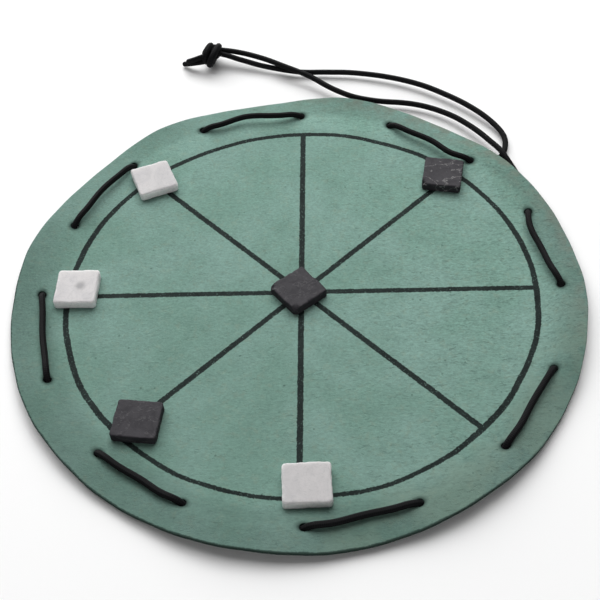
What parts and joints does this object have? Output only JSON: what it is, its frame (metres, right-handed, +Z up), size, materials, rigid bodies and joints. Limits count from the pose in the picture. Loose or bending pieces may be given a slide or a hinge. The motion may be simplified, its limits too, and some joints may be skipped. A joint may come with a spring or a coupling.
{
  "type": "round mill board",
  "caption": "Round suede board with a painted ring and spokes for a mill game, a drawstring laced through its rim that gathers it into a pouch, and square stone tiles.",
  "frame": {"origin": "centre of the painted ring on the underside of the leather, where it rests on the table", "axes": "+Z up through the board, +X along the spoke at the right, +Y along the spoke at the top, towards the free ends of the cord"},
  "size_m": [0.2062, 0.2452, 0.0096],
  "materials": {
    "suede_green": "suede, brushed nap",
    "line_paint": "matt paint soaked into the suede",
    "cord_black": "round braided cord, slightly waxed",
    "marble_white": "honed marble",
    "stone_dark": "honed dark stone"
  },
  "bodies": {
    "board": {"leather_board": "suede_green", "painted_lines": "line_paint", "cord_lacing": "cord_black", "free_strand_outer": "cord_black", "free_strand_inner": "cord_black", "cord_knot": "cord_black", "cord_tail_long": "cord_black", "cord_tail_short": "cord_black"},
    "white_tile_left": {"white_tile_left": "marble_white"},
    "white_tile_upper_left": {"white_tile_upper_left": "marble_white"},
    "white_tile_bottom": {"white_tile_bottom": "marble_white"},
    "dark_tile_upper_right": {"dark_tile_upper_right": "stone_dark"},
    "dark_tile_lower_left": {"dark_tile_lower_left": "stone_dark"},
    "dark_tile_centre": {"dark_tile_centre": "stone_dark"}
  },
  "joints": [
    {"name": "white_tile_left_lift", "type": "slide", "parent": "board", "child": "white_tile_left", "axis": [0, 0, 1], "range_m": [0, 0.04]},
    {"name": "white_tile_upper_left_lift", "type": "slide", "parent": "board", "child": "white_tile_upper_left", "axis": [0, 0, 1], "range_m": [0, 0.04]},
    {"name": "white_tile_bottom_lift", "type": "slide", "parent": "board", "child": "white_tile_bottom", "axis": [0, 0, 1], "range_m": [0, 0.04]},
    {"name": "dark_tile_upper_right_lift", "type": "slide", "parent": "board", "child": "dark_tile_upper_right", "axis": [0, 0, 1], "range_m": [0, 0.04]},
    {"name": "dark_tile_lower_left_lift", "type": "slide", "parent": "board", "child": "dark_tile_lower_left", "axis": [0, 0, 1], "range_m": [0, 0.04]},
    {"name": "dark_tile_centre_lift", "type": "slide", "parent": "board", "child": "dark_tile_centre", "axis": [0, 0, 1], "range_m": [0, 0.04]}
  ]
}
